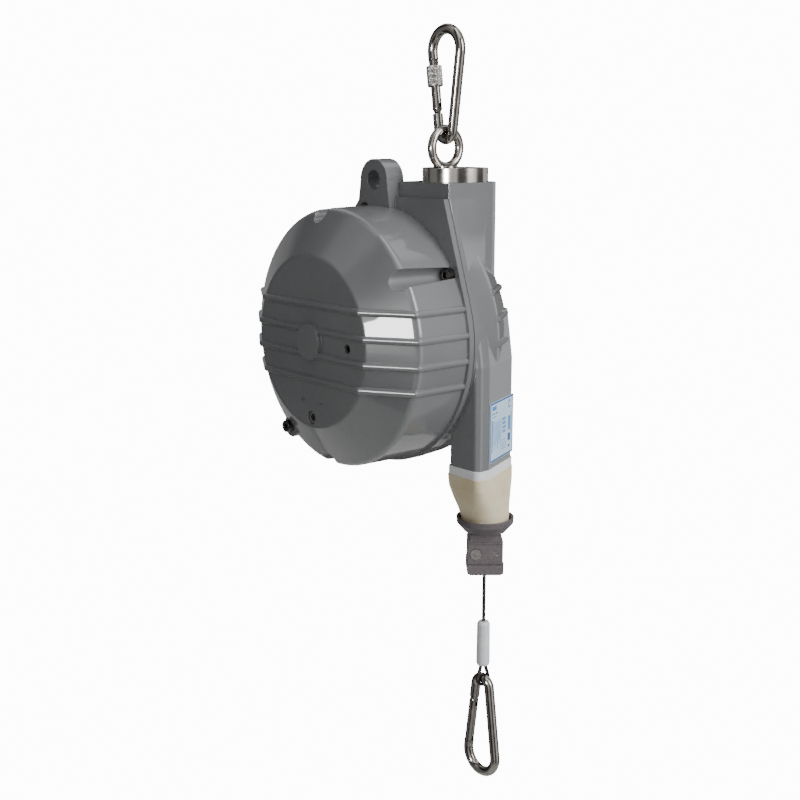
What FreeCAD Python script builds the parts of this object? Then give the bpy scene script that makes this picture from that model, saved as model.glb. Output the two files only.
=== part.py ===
import FreeCAD, Part
import Sketcher
import math
import os


# Tool balancer: a spring-driven rope drum in a two-part die-cast housing. It hangs by a screw-lock
# carabiner and carries a tool on a wire rope. Millimetres, +Z up, the cover's face looks along -Y.
# The origin is the inner crown of the top carabiner, which is where the balancer hangs.


doc = FreeCAD.newDocument("tool_balancer")
sheet = doc.addObject("Spreadsheet::Sheet", "Sizes")


SIZES = [
    # where the drum axis crosses the parting plane, seen from the origin
    ("drum_x", -53), ("seam_y", -36),
    # front cover
    ("rim_radius", 137), ("flange_thick", 7), ("flange_lip", 3), ("side_draft", 1), ("seam_gap", 0.8),
    ("side_depth", 69), ("face_radius", 88), ("cover_depth", 99), ("wall", 3.5),
    ("face_round", 6), ("side_round", 9),
    ("rib_pitch", 25.5), ("rib_radius", 3.5), ("rib_sink", 0.4), ("boss_radius", 18.5), ("boss_rise", 4.5),
    ("peep_x", 60), ("peep_radius", 4.5), ("adjust_drop", 79), ("adjust_radius", 7),
    # corner block at the top of both castings
    ("block_right", 97.5), ("block_left", 22), ("block_over", 21.5), ("block_depth", 76.5),
    ("block_round", 25), ("flange_over", 6.5), ("flange_left", -31), ("lean_angle", 18), ("column_foot", 42),
    # safety ear
    ("ear_x", -1), ("ear_over", 22.5), ("ear_radius", 21.5), ("ear_hole", 10), ("ear_half_base", 27),
    ("ear_front", 15), ("ear_back", 7.5),
    # cover screws in open channels of the rim, and the tower that carries a longer one
    ("screw_inset", 7.5), ("channel_back_radius", 7.2), ("channel_front_radius", 11.7),
    ("screw_head_radius", 6.5), ("screw_head", 8), ("screw_radius", 4), ("screw_reach", 12),
    ("screw_boss", 5), ("screw_end", 3.5), ("tower_inset", 11.5), ("tower_radius", 12.5), ("tower_angle", 235.5),
    ("tower_height", 74),
    # rear housing
    ("back_wall", 6), ("back_kink", 35), ("back_draft", 2), ("back_edge", 72), ("back_edge_inset", 27),
    ("back_depth", 90), ("back_radius", 74), ("back_rib_pitch", 25.5), ("back_round", 14),
    # spine and rope outlet; the rope leaves the drum straight down
    ("rope_inset", 19), ("rope_y", 36), ("rope_radius", 2), ("spine_out", 4), ("spine_in", 17),
    ("spine_strip", 17), ("spine_back", 76), ("spine_front", 1.5), ("spine_taper", 25),
    ("spine_bottom", -126), ("spine_mid", -20), ("spine_top", 30), ("spine_shift", 8), ("outlet_radius", 11),
    ("label_side", 62), ("label_thick", 0.6), ("label_rise", 6),
    # guide
    ("collar_height", 9), ("guide_height", 57), ("guide_end_radius", 24.5), ("guide_bore", 3),
    ("guide_bulge", 2.4), ("guide_mouth_radius", 9), ("guide_mouth_height", 14), ("guide_bell", 30),
    # stop and clamp on the rope
    ("dish_radius", 30), ("dish_height", 15), ("dish_wall", 2.5), ("clamp_width", 38),
    ("clamp_depth", 27), ("clamp_height", 44), ("clamp_turn", 50), ("clamp_screw_radius", 3),
    ("clamp_screw_x", 10), ("clamp_head_radius", 5.9), ("clamp_head_sink", 5),
    # rope end
    ("sleeve_top", -299.5), ("sleeve_length", 49), ("sleeve_radius", 7.3), ("loop_top", 8),
    # carabiners
    ("hook_wire", 5.25), ("hook_wide", 20.5), ("hook_narrow", 10.2), ("hook_span", 77.5),
    ("gate_radius", 4.9), ("gate_gap", 0.4), ("pin_radius", 1.5), ("tongue", 3), ("nose_drop", 6),
    ("hinge_rise", 22), ("catch_reach", 4.6), ("lock_radius", 8.2),
    ("lock_length", 20.5), ("lock_drop", 6.3),
    # eye and swivel
    ("eye_radius", 18.75), ("eye_wire", 4.6), ("plate_radius", 33.5), ("plate_thick", 14),
    ("plate_x", 11), ("plate_y", 3.4), ("neck_show", 0.7), ("neck_radius", 12.5), ("stud_radius", 7), ("run_gap", 0.3),
    ("pocket_radius", 22), ("pocket_depth", 24.5), ("nut_radius", 12), ("nut_height", 9),
    ("bearing_height", 9.5), ("bearing_width", 11), ("bearing_radius", 17),
    # drum, spring and adjuster
    ("shaft_radius", 10), ("shaft_bore", 6), ("drum_front", 17), ("drum_back", 41), ("drum_taper", 0.42),
    ("groove_pitch", 6.5), ("groove_count", 3), ("drum_wall", 7), ("drum_foot", 8), ("hub_radius", 22),
    ("hub_length", 24.5), ("case_inset", 39), ("case_front", 1), ("case_back", 71), ("case_wall", 3),
    ("case_web", 8), ("fit", 0.05), ("bearing_wall", 6), ("bearing_gap", 1), ("hub_wall", 9),
    ("arbor_radius", 16), ("sleeve_wall", 3), ("spring_thick", 3), ("spring_turns", 5), ("spring_width", 39), ("spring_gap", 3),
    ("gear_module", 2), ("gear_teeth", 66), ("pinion_teeth", 13), ("gear_width", 5),
    ("gear_gap", 8), ("wheel_web", 3), ("wheel_hole", 14), ("pinion_stem", 6), ("socket_across", 8),
]
for row, (alias, number) in enumerate(SIZES, start=1):
    sheet.set("A%d" % row, alias)
    sheet.set("B%d" % row, str(number))
    sheet.setAlias("B%d" % row, alias)
doc.recompute()


class Size:
    """A length that knows both its number and the sheet formula it comes from."""


    def __init__(self, number, text=None):
        self.number = float(number)
        self.text = text if text is not None else repr(float(number))


    def _join(self, other, sign, number):
        other = as_size(other)
        return Size(number(self.number, other.number), "(%s %s %s)" % (self.text, sign, other.text))


    def __add__(self, other):
        return self._join(other, "+", lambda a, b: a + b)


    def __radd__(self, other):
        return as_size(other) + self


    def __sub__(self, other):
        return self._join(other, "-", lambda a, b: a - b)


    def __rsub__(self, other):
        return as_size(other) - self


    def __mul__(self, other):
        return self._join(other, "*", lambda a, b: a * b)


    def __rmul__(self, other):
        return as_size(other) * self


    def __truediv__(self, other):
        return self._join(other, "/", lambda a, b: a / b)


    def __neg__(self):
        return Size(-self.number, "(-%s)" % self.text)


    def __float__(self):
        return self.number


def as_size(value):
    return value if isinstance(value, Size) else Size(value)


def root(value):
    return Size(math.sqrt(value.number), "sqrt(%s)" % value.text)


def cosine(angle):
    return Size(math.cos(math.radians(angle.number)), "cos(%s * 1 deg)" % angle.text)


def sine(angle):
    return Size(math.sin(math.radians(angle.number)), "sin(%s * 1 deg)" % angle.text)


def half_chord(radius, height):
    """Half the width of a circle of this radius at this height above its centre."""
    return root(radius * radius - height * height)


s = {alias: Size(sheet.get(alias), "Sizes." + alias) for alias, number in SIZES}

# the eye hangs in the narrow bend of the top carabiner, and the housing below the eye
wire, wide, narrow, span = s["hook_wire"], s["hook_wide"], s["hook_narrow"], s["hook_span"]
eye_z = -(wide * 2 - wire) - (span + narrow - wide) + wire + s["run_gap"] - (s["eye_radius"] - s["eye_wire"])
drum_z = (eye_z - s["eye_radius"] - s["neck_show"] - s["plate_thick"]
          - s["rim_radius"] - s["block_over"])


def bind(thing, prop, value):
    """Bind a property of a document object to a formula of the sheet."""
    thing.setExpression(prop, as_size(value).text)


def plane(body, role):
    return next(f for f in body.Origin.OriginFeatures if f.Role == role)


def new_sketch(body, role, name, offset=None):
    sketch = body.newObject("Sketcher::SketchObject", name)
    sketch.AttachmentSupport = [(plane(body, role), "")]
    sketch.MapMode = "FlatFace"
    if offset is not None:
        bind(sketch, "AttachmentOffset.Base.z", offset)
    return sketch


def place_vertex(sketch, geo, pos, x, y):
    """Tie a sketch point to its two coordinates."""


    for kind, flat, value in (("DistanceX", "Vertical", as_size(x)), ("DistanceY", "Horizontal", as_size(y))):
        if abs(value.number) < 1e-9:
            sketch.addConstraint(Sketcher.Constraint(flat, -1, 1, geo, pos))
            continue
        if value.number > 0:
            index = sketch.addConstraint(Sketcher.Constraint(kind, -1, 1, geo, pos, value.number))
        else:
            value = -value
            index = sketch.addConstraint(Sketcher.Constraint(kind, geo, pos, -1, 1, value.number))
        sketch.setExpression("Constraints[%d]" % index, value.text)


def draw_polygon(sketch, points):


    corners = [FreeCAD.Vector(float(x), float(y), 0) for x, y in points]
    count = len(corners)
    for i in range(count):
        sketch.addGeometry(Part.LineSegment(corners[i], corners[(i + 1) % count]), False)
    for i in range(count):
        sketch.addConstraint(Sketcher.Constraint("Coincident", i, 2, (i + 1) % count, 1))
        place_vertex(sketch, i, 1, *points[i])


def draw_circle(sketch, x, y, radius):


    geo = sketch.addGeometry(Part.Circle(FreeCAD.Vector(float(x), float(y), 0), FreeCAD.Vector(0, 0, 1),
                                         float(radius)), False)
    index = sketch.addConstraint(Sketcher.Constraint("Radius", geo, float(radius)))
    sketch.setExpression("Constraints[%d]" % index, as_size(radius).text)
    place_vertex(sketch, geo, 3, x, y)


def lathe(name, points):
    """A solid of revolution about Y: points are (radius, y)."""
    body = doc.addObject("PartDesign::Body", name)
    sketch = new_sketch(body, "XY_Plane", name + "_profile")
    draw_polygon(sketch, points)
    turned = body.newObject("PartDesign::Revolution", name + "_turned")
    turned.Profile = sketch
    turned.ReferenceAxis = (sketch, ["V_Axis"])
    turned.Angle = 360
    return body


def turned_z(name, points):
    """A solid of revolution about Z: points are (radius, z)."""
    body = doc.addObject("PartDesign::Body", name)
    sketch = new_sketch(body, "XZ_Plane", name + "_profile")
    draw_polygon(sketch, points)
    turned = body.newObject("PartDesign::Revolution", name + "_turned")
    turned.Profile = sketch
    turned.ReferenceAxis = (sketch, ["V_Axis"])
    turned.Angle = 360
    return body


def prism(name, points, front, back):
    """A straight pad along Y between two depths: points are (x, z)."""
    body = doc.addObject("PartDesign::Body", name)
    sketch = new_sketch(body, "XZ_Plane", name + "_outline", offset=-as_size(front))
    draw_polygon(sketch, points)
    pad = body.newObject("PartDesign::Pad", name + "_pad")
    pad.Profile = sketch
    pad.Reversed = True
    bind(pad, "Length", as_size(back) - front)
    return body


def block(name, x, y, z, dx, dy, dz):
    """A box centred on x, standing on z, centred on y."""
    box = doc.addObject("Part::Box", name)
    for prop, value in (("Length", dx), ("Width", dy), ("Height", dz)):
        bind(box, prop, value)
    move(box, as_size(x) - as_size(dx) / 2, as_size(y) - as_size(dy) / 2, z)
    return box


def move(thing, x, y, z):
    for axis, value in zip("xyz", (x, y, z)):
        bind(thing, "Placement.Base.%s" % axis, value)
    return thing


def rod_y(name, x, z, radius, front, back):
    """A cylinder along Y between two depths."""
    rod = doc.addObject("Part::Cylinder", name)
    bind(rod, "Radius", radius)
    bind(rod, "Height", as_size(back) - front)
    rod.Placement.Rotation = FreeCAD.Rotation(FreeCAD.Vector(1, 0, 0), -90)
    return move(rod, x, front, z)


def cone_y(name, x, z, front_radius, back_radius, front, back):
    """A cone along Y between two depths."""
    cone = doc.addObject("Part::Cone", name)
    bind(cone, "Radius1", front_radius)
    bind(cone, "Radius2", back_radius)
    bind(cone, "Height", as_size(back) - front)
    cone.Placement.Rotation = FreeCAD.Rotation(FreeCAD.Vector(1, 0, 0), -90)
    return move(cone, x, front, z)


def rod_z(name, x, y, radius, low, high):
    """A cylinder along Z between two heights."""
    rod = doc.addObject("Part::Cylinder", name)
    bind(rod, "Radius", radius)
    bind(rod, "Height", as_size(high) - low)
    return move(rod, x, y, low)


def fuse(name, *parts):
    joined = doc.addObject("Part::MultiFuse", name)
    joined.Shapes = list(parts)
    return joined


def cut(name, base, *tools):
    result = doc.addObject("Part::Cut", name)
    result.Base = base
    result.Tool = tools[0] if len(tools) == 1 else fuse(name + "_tools", *tools)
    return result


def bundle(name, *parts):
    """Several equal fasteners kept as one node."""
    group = doc.addObject("Part::Compound", name)
    group.Links = list(parts)
    return group


def wire_feature(name, shape):
    feature = doc.addObject("Part::Feature", name)
    feature.Shape = shape
    return feature


def straight(name, radius, start, end):
    """A straight length of round bar."""
    rod = doc.addObject("Part::Cylinder", name)
    bind(rod, "Radius", radius)
    rod.Height = (end - start).Length
    rod.Placement = FreeCAD.Placement(start, FreeCAD.Rotation(FreeCAD.Vector(0, 0, 1), end - start))
    return rod


def bend(name, radius, start, end, centre, over):
    """A bent length of round bar, from start to end about the centre, past the point over."""
    first, last = start - centre, end - centre
    normal = first.cross(over - centre).normalize()
    angle = math.degrees(first.getAngle(last))
    if normal.dot(first.cross(last)) < 0:
        angle = 360 - angle
    ring = doc.addObject("Part::Torus", name)
    ring.Radius1 = first.Length
    bind(ring, "Radius2", radius)
    ring.Angle3 = angle
    ring.Placement = FreeCAD.Placement(
        centre, FreeCAD.Rotation(first.normalize(), normal.cross(first), normal, "ZXY"))
    return ring


def ball(name, radius, centre):
    """The rounded corner between two straight bars, a hair proud so that they cut it cleanly."""
    sphere = doc.addObject("Part::Sphere", name)
    bind(sphere, "Radius", radius + 0.03)
    sphere.Placement.Base = centre
    return sphere


def bead_chain(name, radius, points):
    """A round bar along a polygon, with a ball at each inner corner."""
    pieces = [straight("%s_run_%d" % (name, i), radius, points[i], points[i + 1])
              for i in range(len(points) - 1)]
    pieces += [ball("%s_corner_%d" % (name, i), radius, points[i]) for i in range(1, len(points) - 1)]
    return fuse(name, *pieces)


def rounded_wire(points, radii, height):
    """A closed outline at one height whose corners are tangent arcs."""
    corners = [FreeCAD.Vector(float(x), float(y), float(height)) for x, y in points]
    count = len(corners)
    edges, ends = [], []
    for i in range(count):
        before, here, after = corners[i - 1], corners[i], corners[(i + 1) % count]
        inward, outward = (before - here).normalize(), (after - here).normalize()
        turn = inward.getAngle(outward)
        reach = float(radii[i]) / math.tan(turn / 2)
        first, last = here + inward * reach, here + outward * reach
        middle = (inward + outward).normalize()
        centre = here + middle * (float(radii[i]) / math.sin(turn / 2))
        ends.append((first, centre - middle * float(radii[i]), last))
    for i in range(count):
        first, bulge, last = ends[i]
        edges.append(Part.Arc(first, bulge, last).toShape())
        edges.append(Part.makeLine(last, ends[(i + 1) % count][0]))
    return Part.Wire(edges)


def rounded_profile(name, points, radii):
    """A solid of revolution about Y whose corners are tangent arcs; a radius of 0 leaves one sharp."""
    corners = [FreeCAD.Vector(float(x), float(y), 0) for x, y in points]
    count = len(corners)
    ends, edges = [], []
    for i in range(count):
        here, radius = corners[i], float(radii[i])
        if radius == 0:
            ends.append((here, None, here))
            continue
        inward, outward = (corners[i - 1] - here).normalize(), (corners[(i + 1) % count] - here).normalize()
        turn = inward.getAngle(outward)
        middle = (inward + outward).normalize()
        reach, centre = radius / math.tan(turn / 2), here + middle * (radius / math.sin(turn / 2))
        ends.append((here + inward * reach, centre - middle * radius, here + outward * reach))
    for i in range(count):
        first, bulge, last = ends[i]
        if bulge is not None:
            edges.append(Part.Arc(first, bulge, last).toShape())
        edges.append(Part.makeLine(last, ends[(i + 1) % count][0]))
    turned = doc.addObject("Part::Revolution", name)
    turned.Source = wire_feature(name + "_profile", Part.Face(Part.Wire(edges)))
    turned.Axis = (0, 1, 0)
    turned.Base = (0, 0, 0)
    turned.Angle = 360
    turned.Solid = True
    return turned


def loft(name, *wires):
    """A ruled solid through outlines with the same number of edges."""
    solid = doc.addObject("Part::Loft", name)
    solid.Sections = [wire_feature("%s_section_%d" % (name, i), w) for i, w in enumerate(wires)]
    solid.Solid = True
    solid.Ruled = True
    return solid


nodes = []


def node(label, shape, x=0, y=0, z=0, turn=0):
    """Name a finished sub-part and put it where it belongs in the balancer."""
    if any("Placement" in path for path, formula in shape.ExpressionEngine):
        shape = bundle(label + "_node", shape)
    shape.Label = label
    if turn:
        shape.Placement.Rotation = FreeCAD.Rotation(FreeCAD.Vector(0, 0, 1), float(turn))
    move(shape, x, y, z)
    nodes.append(shape)
    return shape


def in_drum_frame(label, shape):
    return node(label, shape, s["drum_x"], s["seam_y"], drum_z)


def on_rope(label, shape, turn=0):
    rope_x = s["rim_radius"] - s["rope_inset"]
    return node(label, shape, s["drum_x"] + rope_x, s["seam_y"] + s["rope_y"], drum_z, turn)


# ---------------------------------------------------------------- front cover
R = s["rim_radius"]
side_radius = R - s["flange_lip"]
side_front_radius = side_radius - s["side_draft"]
block_top, flange_top = R + s["block_over"], R + s["flange_over"]
screw_circle, tower_circle = R - s["screw_inset"], R - s["tower_inset"]
rope_x = R - s["rope_inset"]
lean_x, lean_z = R * cosine(s["lean_angle"]), R * sine(s["lean_angle"])


def rim_outline(name, front, back):
    """The round flange with the corner block at its top right."""
    disc = rod_y(name + "_disc", 0, 0, R, front, back)
    corner = prism(name + "_corner", [
        (0, 0), (lean_x, lean_z), (s["block_right"], flange_top), (s["flange_left"], flange_top),
        (-lean_z, lean_x)], front, back)
    return [disc, corner]


ear_z = R + s["ear_over"]


def ear(name, front, back):
    """The safety chain's ear: a round eye on a flared foot."""
    half, eye = s["ear_half_base"], s["ear_radius"]
    foot = prism(name + "_foot", [
        (s["ear_x"] - half, side_front_radius - 8), (s["ear_x"] + half, side_front_radius - 8),
        (s["ear_x"] + eye * 0.94, ear_z + eye * 0.342),
        (s["ear_x"] - eye * 0.94, ear_z + eye * 0.342)], front, back)
    return [foot, rod_y(name + "_eye", s["ear_x"], ear_z, eye, front, back)]


def rib(name, height, stations):
    """A half-round rib in a level plane, wrapped over one side, the face and the other side."""
    sink = s["rib_sink"]
    points = [FreeCAD.Vector(float(half_chord(radius - sink, height)),
                             float(depth + sink if depth.number < 0 else depth - sink), float(height))
              for radius, depth in stations]
    return bead_chain(name, s["rib_radius"], [FreeCAD.Vector(-p.x, p.y, p.z) for p in points] + points[::-1])


side_depth, cover_depth, flange = s["side_depth"], s["cover_depth"], s["flange_thick"]
wall = s["wall"]
cover_form = rounded_profile("cover_dome", [
    (0, 0), (0, -cover_depth), (s["face_radius"], -cover_depth), (side_front_radius, -side_depth),
    (side_radius, -flange), (side_radius, 0)], [0, 0, s["face_round"], s["side_round"], 0, 0])
cover_hollow = lathe("cover_hollow_form", [
    (0, 1), (0, wall - cover_depth), (s["face_radius"] - wall * 0.6, wall - cover_depth),
    (side_front_radius - wall, wall * 0.6 - side_depth), (side_radius - wall, 1)])
cover_ribs = [rib("cover_rib_%d" % i, s["rib_pitch"] * (1.5 - i), [
    (side_radius - 0.5, -flange), (side_front_radius, -side_depth), (s["face_radius"], -cover_depth)])
    for i in range(4)]
SCREW_ANGLES = (33, 97, 267)
channel_front, channel_back = s["channel_front_radius"], s["channel_back_radius"]
screw_reach = s["screw_reach"]


def on_circle(radius, degrees):
    return (radius * math.cos(math.radians(degrees)), radius * math.sin(math.radians(degrees)))


channel_walls = [cone_y("channel_wall_%d" % i, *on_circle(screw_circle, a), channel_front + wall,
                        channel_back + wall, -cover_depth, 2) for i, a in enumerate(SCREW_ANGLES)]
channels = [cone_y("channel_%d" % i, *on_circle(screw_circle, a), channel_front, channel_back,
                   -cover_depth, -flange) for i, a in enumerate(SCREW_ANGLES)]
screw_holes = [rod_y("screw_hole_%d" % i, *on_circle(screw_circle, a), s["screw_radius"], -flange - 1, 1)
               for i, a in enumerate(SCREW_ANGLES)]
tower_x, tower_z = on_circle(tower_circle, float(s["tower_angle"]))
tower = rod_y("screw_tower", tower_x, tower_z, s["tower_radius"], -s["tower_height"], 0)
tower_hole = rod_y("tower_hole", tower_x, tower_z, s["screw_radius"], -s["tower_height"] - 1, 1)
gear_front = wall - cover_depth + s["gear_gap"]
hub_wall = s["shaft_radius"] + s["hub_wall"]
hollow = cut("cover_hollow", cover_hollow, *channel_walls,
             rod_y("tower_wall", tower_x, tower_z, s["tower_radius"], -cover_depth, 2),
             rod_y("cover_hub", 0, 0, hub_wall, -cover_depth, gear_front - 1))
cover_body = fuse("cover_body", cover_form, *rim_outline("cover_flange", -flange, -s["seam_gap"]),
                  *ear("cover_ear", -s["ear_front"], 0), tower,
                  rod_y("centre_boss", 0, 0, s["boss_radius"], -cover_depth - s["boss_rise"], -cover_depth + 1))
ribbed_cover = fuse("cover_ribbed", cover_body, *cover_ribs)
front_cover = in_drum_frame("front_cover", cut(
    "cover_finished", ribbed_cover, hollow, *channels, *screw_holes, tower_hole,
    rod_y("tower_seat", tower_x, tower_z, s["screw_head_radius"] + 1.5, -cover_depth, -s["tower_height"]),
    rod_y("cover_ear_hole", s["ear_x"], ear_z, s["ear_hole"], -s["ear_front"] - 1, 1),
    rod_y("peep_hole", s["peep_x"], 0, s["peep_radius"], -cover_depth - 5, -cover_depth + 10),
    rod_y("adjust_hole", 0, -s["adjust_drop"], s["adjust_radius"], -cover_depth - 5, -cover_depth + 10),
    rod_y("cover_shaft_seat", 0, 0, s["shaft_radius"], wall - cover_depth, 0)))


def socket_screw(name, x, z, seat, length, head_radius, head, radius):
    """A socket head screw that looks towards -Y; seat is where its head bears."""
    body = lathe(name + "_form", [
        (0, seat - head), (head_radius, seat - head), (head_radius, seat), (radius - 0.1, seat),
        (radius - 0.1, seat + length), (0, seat + length)])
    move(body, x, 0, z)
    key = doc.addObject("Part::Prism", name + "_key")
    key.Polygon = 6
    bind(key, "Circumradius", head_radius * 0.52)
    bind(key, "Height", head * 0.6)
    key.Placement.Rotation = FreeCAD.Rotation(FreeCAD.Vector(1, 0, 0), -90)
    move(key, x, seat - head, z)
    return cut(name, body, key)


in_drum_frame("cover_screws", bundle("cover_screw_set", *[
    socket_screw("cover_screw_%d" % i, *on_circle(screw_circle, a), -flange, screw_reach + flange,
                 s["screw_head_radius"], s["screw_head"], s["screw_radius"])
    for i, a in enumerate(SCREW_ANGLES)]))
in_drum_frame("tower_screw", socket_screw(
    "tower_bolt", tower_x, tower_z, -s["tower_height"], s["tower_height"] + screw_reach,
    s["screw_head_radius"], s["screw_head"], s["screw_radius"]))

# ---------------------------------------------------------------- rear housing
back_wall = s["back_wall"]
back_kink_radius, back_edge_radius = R - s["back_draft"], R - s["back_edge_inset"]
back_form = rounded_profile("rear_dome", [
    (0, 0), (R, 0), (R, 6), (back_kink_radius, s["back_kink"]), (back_edge_radius, s["back_edge"]),
    (s["back_radius"], s["back_depth"]), (0, s["back_depth"])], [0, 0, 0, s["back_round"], s["back_round"],
                                                                 s["back_round"], 0])
back_hollow = lathe("rear_hollow_form", [
    (0, -1), (R - back_wall - 2, -1), (back_kink_radius - back_wall, s["back_kink"] - 1),
    (back_edge_radius - back_wall * 1.2, s["back_edge"] - 2),
    (s["back_radius"] - back_wall * 0.6, s["back_depth"] - back_wall), (0, s["back_depth"] - back_wall)])


def column_section(right, height, top_right=None):
    """Level section of the column: square at the parting plane, rounded at the back."""
    points = [(s["block_left"], 0), (right, 0), (s["block_right"], s["block_depth"] * 0.66),
              (s["block_right"] - 1, s["block_depth"]), (s["block_left"], s["block_depth"])]
    return rounded_wire(points, [1.5, 1.5, 6, s["block_round"] * 0.8, 12], height)


column = loft("column",
              column_section(lean_x, s["column_foot"]),
              column_section(s["block_right"] + 0.5, flange_top),
              column_section(s["block_right"] + 0.4, block_top))
right, strip, spine_back = R + s["spine_out"], s["spine_strip"], s["spine_back"]


def spine_corners(grow=0.0, inboard=0.0):
    """Corners of the spine's level section: front face, strip, slanted label face, rounded back."""
    edge, left_edge = right - inboard + grow, rope_x - s["spine_in"] - inboard - grow
    return [(left_edge, s["spine_front"] - grow), (edge, s["spine_front"] - grow),
            (edge, strip), (edge - s["spine_taper"], spine_back + grow * 0.5),
            (left_edge - 2, spine_back + grow * 0.5), (left_edge - 22, spine_back / 2)]


SPINE_ROUND = (3, 7, 6, 9, 16, 14)


def spine_outline(height, grow=0.0, inboard=0.0):
    return rounded_wire(spine_corners(grow, inboard), SPINE_ROUND, height)


spine = loft("spine",
             spine_outline(s["spine_bottom"]),
             spine_outline(s["spine_mid"]),
             spine_outline(s["spine_top"], inboard=s["spine_shift"]))
back_ribs = [rib("back_rib_%d" % i, s["back_rib_pitch"] * i, [
    (back_kink_radius, s["back_kink"]), (back_edge_radius, s["back_edge"]),
    (s["back_radius"], s["back_depth"])]) for i in range(3)]
blind_holes = [rod_y("blind_hole_%d" % i, *on_circle(screw_circle, a), s["screw_radius"],
                     -1, screw_reach + 1) for i, a in enumerate(SCREW_ANGLES)]
boss_wall = s["screw_radius"] + s["screw_boss"]
rear_hollow = cut("rear_hollow", back_hollow, *[
    rod_y("rear_boss_%d" % i, *on_circle(screw_circle, a), boss_wall, -2, screw_reach + s["screw_end"])
    for i, a in enumerate(SCREW_ANGLES)],
    rod_y("rear_tower_boss", tower_x, tower_z, boss_wall, -2, screw_reach + s["screw_end"]),
    rod_y("rear_hub", 0, 0, hub_wall, s["case_back"] + 2, s["back_depth"]))
rear_body = fuse("rear_body", back_form, *rim_outline("rear_rim", 0, 6), column, spine, *back_ribs,
                 *ear("rear_ear", 0, s["ear_back"]))
eye_x, eye_y = -s["drum_x"], -s["seam_y"]
rear_housing = in_drum_frame("rear_housing", cut(
    "rear_finished", rear_body, rear_hollow, *blind_holes,
    rod_y("tower_thread", tower_x, tower_z, s["screw_radius"], -1, screw_reach + 1),
    rod_y("rear_ear_hole", s["ear_x"], ear_z, s["ear_hole"], -1, s["ear_back"] + 1),
    rod_y("rear_shaft_seat", 0, 0, s["shaft_radius"], 0, s["back_depth"] - back_wall),
    rod_z("swivel_pocket", eye_x, eye_y, s["pocket_radius"], block_top - s["pocket_depth"], block_top + 1),
    rod_z("rope_outlet", rope_x, s["rope_y"], s["outlet_radius"], s["spine_bottom"] - 1, 0)))

# label on the slanted face of the spine, left bare
label_turn = math.degrees(math.atan2(float(s["spine_taper"]), float(spine_back - strip)))
label = doc.addObject("Part::Box", "label_blank")
bind(label, "Length", s["label_thick"])
bind(label, "Width", s["label_side"])
bind(label, "Height", s["label_side"])
node("label_plate", label, s["drum_x"] + right - 0.25, s["seam_y"] + strip + 1.2,
     drum_z + s["spine_bottom"] + s["label_rise"], turn=label_turn)

# ---------------------------------------------------------------- rope guide
guide_top = s["spine_bottom"] - s["collar_height"]
guide_low = guide_top - s["guide_height"]
collar = loft("collar_form", spine_outline(guide_top, 1.2), spine_outline(s["spine_bottom"], 1.2))
in_drum_frame("guide_collar", cut("collar_bored", collar, rod_z(
    "collar_bore", rope_x, s["rope_y"], s["outlet_radius"], guide_top - 1, s["spine_bottom"] + 1)))


SIDE_NORMALS = (270, 0, 23, 90, 152, 211)


def guide_section(drop, share, grow):
    """A level section of the guide: share 0 is the spine's outline, 1 the round end."""
    end, corners, rounds = s["guide_end_radius"].number, [], []
    for i, (x, y) in enumerate(spine_corners(grow)):
        before, after = SIDE_NORMALS[i - 1], SIDE_NORMALS[i]
        half = math.radians((after - before) % 360) / 2
        bearing, reach = math.radians(before) + half, end / math.cos(half)
        far_x = rope_x.number + reach * math.cos(bearing)
        far_y = s["rope_y"].number + reach * math.sin(bearing)
        corners.append((float(x) + (far_x - float(x)) * share, float(y) + (far_y - float(y)) * share))
        rounds.append(SPINE_ROUND[i] + (end * 0.94 - SPINE_ROUND[i]) * share)
    return rounded_wire(corners, rounds, guide_top.number - s["guide_height"].number * drop)


GUIDE_PROFILE = ((0, 0, 0.8), (0.22, 0.13, 1), (0.44, 0.38, 0.7), (0.65, 0.7, 0.3), (0.83, 0.95, 0), (1, 1, 0))
guide = loft("guide_form", *[guide_section(drop, share, s["guide_bulge"].number * bulge)
                             for drop, share, bulge in GUIDE_PROFILE])
mouth_top = guide_low + s["guide_mouth_height"]
mouth = turned_z("guide_mouth", [
    (0, guide_low - 1), (s["guide_mouth_radius"], guide_low - 1), (s["guide_bore"], mouth_top),
    (s["guide_bore"], guide_top - s["guide_bell"]), (s["outlet_radius"], guide_top + 1), (0, guide_top + 1)])
move(mouth, rope_x, s["rope_y"], 0)
in_drum_frame("rope_guide", cut("guide_bored", guide, mouth))

# ---------------------------------------------------------------- stop and clamp on the rope
rope_fit = s["rope_radius"] + s["fit"]
dish_top = guide_low - s["run_gap"]
dish_rim, dish_wall = s["dish_radius"], s["dish_wall"]
on_rope("stop_dish", turned_z("dish_form", [
    (rope_fit, dish_top), (dish_rim - dish_wall - 1, dish_top), (dish_rim - dish_wall, dish_top + 9),
    (dish_rim, dish_top + 9), (dish_rim - 0.5, dish_top + 3), (dish_rim * 0.72, dish_top - s["dish_height"] * 0.4),
    (dish_rim * 0.5, dish_top - s["dish_height"] * 0.5), (rope_fit, dish_top - s["dish_height"] * 0.5)]))
clamp_top = dish_top - s["dish_height"] * 0.5
clamp_low = clamp_top - s["clamp_height"]
half_width, half_depth = s["clamp_width"] / 2, s["clamp_depth"] / 2


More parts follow.
